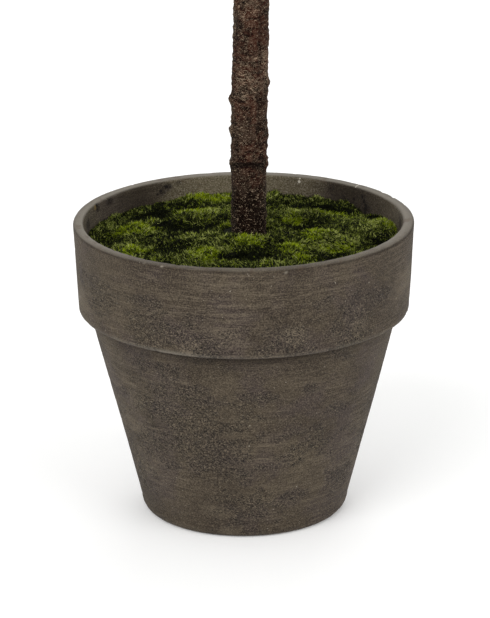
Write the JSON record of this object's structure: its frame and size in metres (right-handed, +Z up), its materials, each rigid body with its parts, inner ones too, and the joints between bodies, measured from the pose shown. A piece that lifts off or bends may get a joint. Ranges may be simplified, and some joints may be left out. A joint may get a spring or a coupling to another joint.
{
  "type": "artificial lollipop topiary in a pot",
  "caption": "Artificial standard topiary: a clipped ball of small leaves on one clear stem, in a tapered clay pot with a deep rim band, topped with moss.",
  "frame": {"origin": "middle of the pot's flat underside, on the ground", "axes": "+Z up along the pot's axis, +Y away from the picture's camera, +X to the picture's right"},
  "size_m": [0.394, 0.3911, 0.9962],
  "materials": {
    "clay": "unglazed clay with a brushed grey-brown wash, crazed and pitted",
    "filling": "rough cast filling, hidden under the moss",
    "moss": "crumpled mat of fine green fibres",
    "bark": "dark red-brown bark with pale flecks",
    "foliage": "small satin leaves in several greens"
  },
  "bodies": {
    "root": {"pot": "clay", "pot_filling": "filling", "moss": "moss", "trunk": "bark", "crown": "foliage"}
  },
  "joints": []
}
